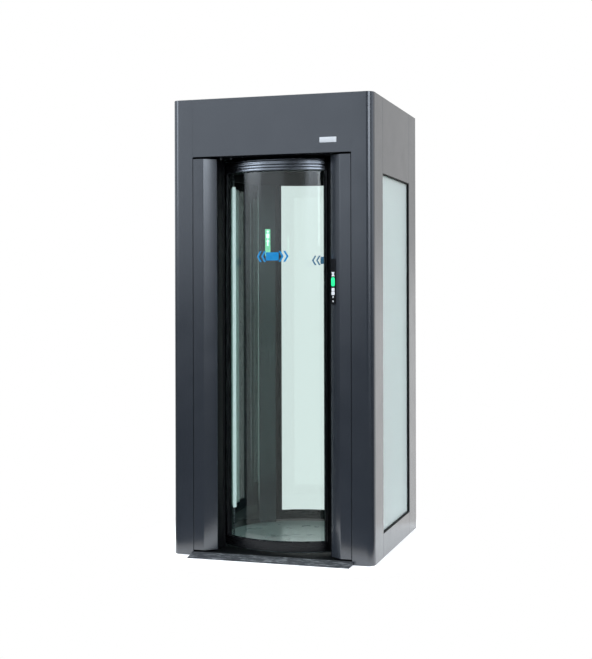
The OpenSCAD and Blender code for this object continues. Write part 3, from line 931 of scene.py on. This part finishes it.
class PORTAL_OT_door_markings(bpy.types.Operator):
    """Sticks the blue markings on the leaves' glass: a bar between two pairs of chevrons"""

    bl_idname = "portal.door_markings"
    bl_label = "Door Markings"

    def execute(self, context):
        sizes = details()
        glass_out = reach("front_leaf_glass")[1]
        radius = glass_out + sizes.film_t / 2 + 0.02 * MM
        # It sits a little towards the trailing edge, so that it is in the middle of the clear doorway.
        middle = -13.8 * MM / glass_out
        for side in SIDES:
            marking = bmesh.new()
            bar = (sizes.marking_bar_w, sizes.film_t, sizes.marking_bar_h)
            bar = block(bar, radius=5 * MM, corner_steps=4)
            gather(marking, cut_across(bar, 8 * MM))
            for hand in (-1, 1):
                for tip in (63 * MM, 89 * MM):
                    gather(marking, self.chevron(hand, tip, sizes))
            shift(bend(marking, radius, middle), z=sizes.marking_z)
            move(marking, TURNS[side])
            piece_from(f"door_marking_{side}", marking, "marking", f"{side}_leaf")
        return {"FINISHED"}

    def chevron(self, hand, tip, sizes):
        """A bar that is folded at half its height, so that it points away from the middle."""
        stroke, depth = 11 * MM, 17 * MM
        shape = block((stroke, sizes.film_t, sizes.marking_chevron_h))
        geom = shape.verts[:] + shape.edges[:] + shape.faces[:]
        bmesh.ops.bisect_plane(shape, geom=geom, plane_co=(0, 0, 0), plane_no=(0, 0, 1))
        for v in shape.verts:
            back = depth * abs(v.co.z) / (sizes.marking_chevron_h / 2)
            v.co.x = hand * (tip - stroke / 2 - back) + v.co.x
        return shape


class PORTAL_OT_indicators(bpy.types.Operator):
    """Finishes the indicator strips and adds their lamp and white symbols"""

    bl_idname = "portal.indicators"
    bl_label = "Indicators"

    def execute(self, context):
        sizes = details()
        low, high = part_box("indicator_front")
        fold, edge = wing_fold()
        slant = (fold - edge).normalized()
        middle = edge + slant * sizes.indicator_edge
        turned = Matrix.Rotation(math.atan2(slant.y, slant.x), 4, "Z")
        proud = Matrix.Translation((0, low.y - high.y, 0))
        wide = Matrix.Scale(sizes.indicator_w / (high.x - low.x), 4, (1, 0, 0))
        back_home = Matrix.Translation((-(low.x + high.x) / 2, -low.y, -low.z))
        for side in SIDES:
            turn = TURNS[side]
            face = turn @ Matrix.Translation((middle.x, middle.y, low.z)) @ turned @ proud
            eased(f"indicator_{side}", "cover", 1.0 * MM, matrix=face @ wide @ back_home @ turn)
            lens = block((28 * MM, 1.6 * MM, 46 * MM), radius=9 * MM, rim=0.9 * MM, corner_steps=8)
            move(lens, face @ Matrix.Translation((0, -0.8 * MM, 116 * MM)))
            piece_from(f"indicator_lamp_{side}", lens, "lamp")
            symbols = move(self.symbols(), face @ Matrix.Translation((0, -0.2 * MM, 0)))
            piece_from(f"indicator_symbols_{side}", symbols, "symbols")
        return {"FINISHED"}

    def symbols(self):
        """The white print: an hourglass, the sign for waiting, two plates and two diamonds below."""
        print_t = 0.4 * MM
        symbols = bmesh.new()
        for up in (1, -1):
            half = block((30 * MM, print_t, 11 * MM))
            for v in half.verts:
                if v.co.z * up < 0:
                    v.co.x *= 0.35
            gather(symbols, shift(half, z=155.5 * MM + up * 5.5 * MM))
        for width, tall, radius, z in ((24, 17, 3, 75.5), (28, 18, 6, 57)):
            plate = block((width * MM, print_t, tall * MM), radius=radius * MM)
            gather(symbols, shift(plate, z=z * MM))
        tilt = Matrix.Rotation(math.radians(45), 4, "Y")
        for z in (38 * MM, 16 * MM):
            diamond = block((9 * MM, print_t, 9 * MM), radius=1.5 * MM)
            gather(symbols, shift(move(diamond, tilt), z=z))
        return symbols


# Width, height, corner radius, corner steps and place of a figure's head and body, and of a bar.
DISPLAY_MARKS = ((13, 13, 6.2, 8, 60), (18, 28, 7, 6, 34), (24, 8, 2, 5, -78))


class PORTAL_OT_displays(bpy.types.Operator):
    """Finishes the displays inside the chamber and adds their lit screens"""

    bl_idname = "portal.displays"
    bl_label = "Displays"

    def execute(self, context):
        for side in SIDES:
            node = f"display_{side}"
            eased(node, "cover", 1.5 * MM)
            low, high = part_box(node)
            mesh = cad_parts[node].data
            middle = (low + high) / 2
            inward = Vector((-middle.x, -middle.y, 0)).normalized()
            face = max(mesh.polygons, key=lambda p: p.area * max(0.0, p.normal.dot(inward)))
            out = Vector((face.normal.x, face.normal.y, 0)).normalized()
            depth = face.center.dot(out) - middle.dot(out)
            turn = Vector((0, -1, 0)).rotation_difference(out).to_matrix().to_4x4()
            base = Matrix.Translation(middle + out * depth) @ turn
            screen = block((34 * MM, 0.8 * MM, 162 * MM), radius=3 * MM, rim=0.4 * MM)
            move(screen, base @ Matrix.Translation((0, -0.4 * MM, -6 * MM)))
            piece_from(f"display_screen_{side}", screen, "screen")
            marks = shift(self.arrow(), z=-12 * MM)
            for wide, tall, radius, steps, z in DISPLAY_MARKS:
                mark = block((wide * MM, 0.5 * MM, tall * MM), radius=radius * MM, corner_steps=steps)
                gather(marks, shift(mark, z=z * MM))
            move(marks, base @ Matrix.Translation((0, -0.9 * MM, 0)))
            piece_from(f"display_marks_{side}", marks, "screen_mark")
        return {"FINISHED"}

    def arrow(self):
        """A generic arrow that points up: a stem and a head."""
        stem = block((8 * MM, 0.5 * MM, 26 * MM))
        head = block((22 * MM, 0.5 * MM, 14 * MM))
        for v in head.verts:
            if v.co.z > 0:
                v.co.x *= 0.06
        return gather(stem, shift(head, z=19 * MM))


class PORTAL_OT_label_plate(bpy.types.Operator):
    """Puts the bare label plate on the front fascia"""

    bl_idname = "portal.label_plate"
    bl_label = "Label Plate"

    def execute(self, context):
        sizes = details()
        low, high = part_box("fascia_front")
        plate_t = 1.2 * MM
        plate = block((sizes.label_w, plate_t, sizes.label_h), radius=2.5 * MM, rim=0.4 * MM)
        shift(plate, high.x - 122 * MM, low.y - plate_t / 2, low.z + 66 * MM)
        piece_from("label_plate", plate, "label")
        return {"FINISHED"}


# ---- studio ----------------------------------------------------------------------------

# Azimuth from the front towards +X, elevation, size and share of the brightness of each soft lamp.
LAMPS = {
    "key": (-38, 32, 2.8, 1.0),
    "fill": (55, 24, 2.8, 0.85),
    "top": (0, 89, 2.6, 0.4),
    "back": (165, 35, 2.8, 0.6),
    "far_side": (-110, 25, 2.8, 0.5),
}
LAMP_DISTANCE = 4.6
# Middle and half width of each dim gap in the room, in degrees of azimuth, and its share of the light.
GAPS = ((-86, 13, 0.55), (70, 9, 0.1), (8, 14, 0.12))
# Middle and half width of each mirrored softbox, in degrees of azimuth.
SOFTBOXES = ((-48, 10), (39, 14))
WHITE = (1, 1, 1, 1)


class PORTAL_OT_studio(bpy.types.Operator):
    """Sets up the pale floor, the soft light and the camera"""

    bl_idname = "portal.studio"
    bl_label = "Studio"

    def execute(self, context):
        scene = context.scene
        scene.view_settings.view_transform = "Standard"
        studio = scene.portal_studio
        self.floor(scene, studio)
        self.world(scene, studio)
        for name, (azimuth, elevation, size, share) in LAMPS.items():
            self.lamp(scene, name, azimuth, elevation, size, share * studio.lamps)
        self.camera(scene, studio)
        return {"FINISHED"}

    def floor(self, scene, studio):
        """A round sheet of pale paper that fades to white before its edge."""
        bm = bmesh.new()
        bmesh.ops.create_circle(bm, cap_ends=True, radius=1.0, segments=64)
        mesh = bpy.data.meshes.new("studio_floor")
        bm.to_mesh(mesh)
        bm.free()
        floor = bpy.data.objects.new("studio_floor", mesh)
        scene.collection.objects.link(floor)
        material, tree, place = new_material("Pale studio floor")
        far = add(tree, "ShaderNodeVectorMath", {0: place}, operation="LENGTH").outputs["Value"]
        edge = {"Value": far, "From Min": 0.8, "From Max": 0.97}
        fade = add(tree, "ShaderNodeMapRange", edge, interpolation_type="SMOOTHSTEP")
        paper = add(tree, "ShaderNodeBsdfDiffuse", {"Color": linear("F2F2F2")})
        lift = add(tree, "ShaderNodeEmission", {"Color": WHITE, "Strength": studio.floor_lift})
        near = add(tree, "ShaderNodeAddShader", {0: paper, 1: lift})
        white = add(tree, "ShaderNodeEmission", {"Color": WHITE, "Strength": 1.0})
        shown = add(tree, "ShaderNodeMixShader", {0: fade, 1: near, 2: white})
        rays = add(tree, "ShaderNodeLightPath").outputs
        seen = {0: rays["Is Camera Ray"], 1: rays["Is Transmission Ray"]}
        seen = add(tree, "ShaderNodeMath", seen, operation="MAXIMUM")
        seen = add(tree, "ShaderNodeMath", {0: seen, 1: rays["Is Glossy Ray"]}, operation="MAXIMUM")
        both = add(tree, "ShaderNodeMixShader", {0: seen, 1: paper, 2: shown})
        add(tree, "ShaderNodeOutputMaterial", {"Surface": both})
        mesh.materials.append(material)

    def world(self, scene, studio):
        """White to the camera and through glass. Glossy and diffuse rays meet a room with softboxes."""
        world = bpy.data.worlds.new("Studio surround")
        scene.world = world
        world.use_nodes = True
        tree = world.node_tree
        tree.nodes.clear()
        direction = add(tree, "ShaderNodeTexCoord").outputs["Generated"]
        parts = add(tree, "ShaderNodeSeparateXYZ", {0: direction}).outputs
        forward = add(tree, "ShaderNodeMath", {0: parts["Y"], 1: -1.0}, operation="MULTIPLY")
        azimuth = add(tree, "ShaderNodeMath", {0: parts["X"], 1: forward}, operation="ARCTAN2")

        # Heights are the sine of the elevation: the room brightens at eye level and ends in the ceiling.
        height = parts["Z"]
        soft = {"interpolation_type": "SMOOTHSTEP"}
        room = studio.room
        for middle, half_width, share in GAPS:
            gap = self.band(tree, azimuth, middle, half_width, 6)
            room = add(tree, "ShaderNodeMix", {"Factor": gap, "A": room, "B": share * studio.room})
        above = {"Value": height, "From Min": -0.03, "From Max": 0.055}
        above = add(tree, "ShaderNodeMapRange", above, **soft)
        room = add(tree, "ShaderNodeMix", {"Factor": above, "A": studio.room_floor, "B": room})
        behind = add(tree, "ShaderNodeMix", {"Factor": above, "A": 1.0, "B": 0.66})
        front = self.band(tree, azimuth, 0, 122, 14)
        walls = add(tree, "ShaderNodeMix", {"Factor": front, "A": behind, "B": room})
        high = {"Value": height, "From Min": 0.35, "From Max": 0.95}
        high = add(tree, "ShaderNodeMapRange", high, **soft)
        total = add(tree, "ShaderNodeMix", {"Factor": high, "A": walls, "B": studio.ceiling})
        # The softboxes start just above eye level.
        bottom = {"Value": height, "From Min": 0.06, "From Max": 0.11}
        bottom = add(tree, "ShaderNodeMapRange", bottom, **soft)
        top = {"Value": height, "From Min": 0.75, "From Max": 0.5}
        top = add(tree, "ShaderNodeMapRange", top, **soft)
        tall = add(tree, "ShaderNodeMath", {0: bottom, 1: top}, operation="MULTIPLY")
        for middle, half_width in SOFTBOXES:
            box = self.band(tree, azimuth, middle, half_width, 4, studio.softbox)
            box = add(tree, "ShaderNodeMath", {0: box, 1: tall}, operation="MULTIPLY")
            total = add(tree, "ShaderNodeMath", {0: total, 1: box}, operation="ADD")
        rays = add(tree, "ShaderNodeLightPath").outputs
        seen = {0: rays["Is Camera Ray"], 1: rays["Is Transmission Ray"]}
        seen = add(tree, "ShaderNodeMath", seen, operation="MAXIMUM")
        cool = add(tree, "ShaderNodeMath", {0: 1.0, 1: seen}, operation="SUBTRACT")
        cool = add(tree, "ShaderNodeMath", {0: cool, 1: front}, operation="MULTIPLY")
        tint = {"Factor": cool, "A": WHITE, "B": (0.9, 1.0, 1.13, 1)}
        sockets = {
            "Color": add(tree, "ShaderNodeMix", tint, data_type="RGBA"),
            "Strength": add(tree, "ShaderNodeMix", {"Factor": seen, "A": total, "B": 1.0}),
        }
        backdrop = add(tree, "ShaderNodeBackground", sockets)
        add(tree, "ShaderNodeOutputWorld", {"Surface": backdrop})

    def band(self, tree, azimuth, middle, half_width, soft, level=1.0):
        """A band of azimuths in degrees that ends softly, at a level."""
        off = add(tree, "ShaderNodeMath", {0: azimuth, 1: math.radians(middle)}, operation="SUBTRACT")
        off = add(tree, "ShaderNodeMath", {0: off}, operation="ABSOLUTE")
        ends = {"From Min": math.radians(half_width + soft), "From Max": math.radians(half_width - soft)}
        spread = {"Value": off, "To Max": level, **ends}
        return add(tree, "ShaderNodeMapRange", spread, interpolation_type="SMOOTHSTEP")

    def lamp(self, scene, name, azimuth, elevation, size, radiance):
        """A square soft lamp aimed at the portal. Glossy faces mirror the surround instead."""
        data = bpy.data.lights.new(name, "AREA")
        data.size = size
        data.energy = radiance * math.pi * size**2
        lamp = bpy.data.objects.new(name, data)
        scene.collection.objects.link(lamp)
        turn, tilt = math.radians(azimuth), math.radians(elevation)
        out = Vector((math.sin(turn) * math.cos(tilt), -math.cos(turn) * math.cos(tilt), math.sin(tilt)))
        middle = Vector((0, 0, CAD_BOX[1].z / 2))
        lamp.location = middle + LAMP_DISTANCE * out
        lamp.rotation_euler = out.to_track_quat("Z", "Y").to_euler()
        lamp.visible_camera = False
        lamp.visible_glossy = False

    def camera(self, scene, studio):
        """The camera, in front of the portal and to its right."""
        data = bpy.data.cameras.new("portal_camera")
        data.lens = studio.lens
        data.sensor_width = 36
        # The camera looks level, so that upright edges stay upright, and its lens is shifted down a little.
        data.shift_y = studio.shift
        camera = bpy.data.objects.new("portal_camera", data)
        scene.collection.objects.link(camera)
        camera.location = studio.camera_at
        level = Euler((math.pi / 2, 0, studio.turn)).to_matrix()
        camera.rotation_euler = (level @ Euler((0, 0, studio.roll)).to_matrix()).to_euler()
        scene.camera = camera


OPERATORS = (
    PORTAL_OT_casing,
    PORTAL_OT_side_windows,
    PORTAL_OT_doorways,
    PORTAL_OT_head,
    PORTAL_OT_base,
    PORTAL_OT_inner_walls,
    PORTAL_OT_leaves,
    PORTAL_OT_door_markings,
    PORTAL_OT_indicators,
    PORTAL_OT_displays,
    PORTAL_OT_label_plate,
    PORTAL_OT_studio,
)


class PORTAL_PT_panel(bpy.types.Panel):
    """Lists the portal's steps in the order in which they run"""

    bl_idname = "PORTAL_PT_panel"
    bl_label = "Security Portal"
    bl_space_type = "VIEW_3D"
    bl_region_type = "UI"
    bl_category = "Portal"

    def draw(self, context):
        for operator in OPERATORS:
            self.layout.operator(operator.bl_idname)


GROUPS = {"portal_finishes": PortalFinishes, "portal_details": PortalDetails, "portal_studio": PortalStudio}
CLASSES = (*GROUPS.values(), *OPERATORS, PORTAL_PT_panel)


def register():
    for cls in CLASSES:
        bpy.utils.register_class(cls)
    for name, group in GROUPS.items():
        setattr(bpy.types.Scene, name, PointerProperty(type=group))


def unregister():
    for name in GROUPS:
        delattr(bpy.types.Scene, name)
    for cls in reversed(CLASSES):
        bpy.utils.unregister_class(cls)


def main():
    register()
    for operator in OPERATORS:
        group, name = operator.bl_idname.split(".")
        getattr(getattr(bpy.ops, group), name)()


if __name__ == "__main__":
    main()
